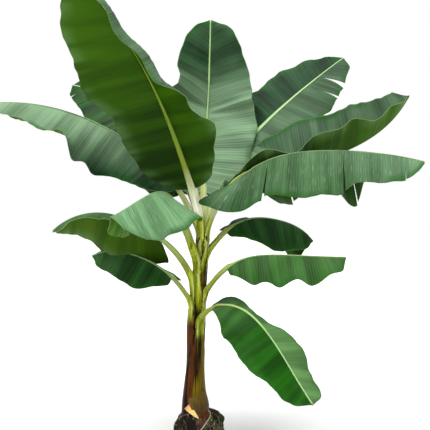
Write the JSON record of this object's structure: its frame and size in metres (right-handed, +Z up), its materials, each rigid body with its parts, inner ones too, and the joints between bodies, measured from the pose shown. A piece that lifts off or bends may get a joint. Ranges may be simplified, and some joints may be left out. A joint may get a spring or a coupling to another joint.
{
  "type": "banana plant",
  "caption": "Young banana plant on its own root ball, with a leaning false stem, arching stalks and broad paddle-shaped leaves, some of them torn and hanging.",
  "frame": {"origin": "middle of the root ball's flat underside", "axes": "+Z up the false stem, +X to the right and +Y away in the usual view"},
  "size_m": [2.1396, 1.6044, 2.3086],
  "materials": {
    "false_stem": "satin",
    "stalk": "satin",
    "leaf": "satin",
    "root_ball": "matte",
    "cut_stub": "matte"
  },
  "bodies": {
    "root": {"false_stem": "false_stem", "root_ball": "root_ball", "cut_stub": "cut_stub", "stalk_high_left": "stalk", "stalk_high_middle": "stalk", "stalk_right_droop": "stalk", "stalk_right_up": "stalk", "stalk_back_right": "stalk", "stalk_left": "stalk", "stalk_back_left": "stalk", "stalk_back": "stalk", "stalk_front_left": "stalk", "stalk_right_upper": "stalk", "stalk_left_middle": "stalk", "stalk_right_middle": "stalk", "stalk_left_low": "stalk", "stalk_right_low": "stalk", "leaf_high_left": "leaf", "leaf_high_middle": "leaf", "leaf_right_droop": "leaf", "leaf_right_up": "leaf", "leaf_back_right": "leaf", "leaf_left": "leaf", "leaf_back_left": "leaf", "leaf_back": "leaf", "leaf_front_left": "leaf", "leaf_right_upper": "leaf", "leaf_left_middle": "leaf", "leaf_right_middle": "leaf", "leaf_left_low": "leaf", "leaf_right_low": "leaf"}
  },
  "joints": []
}
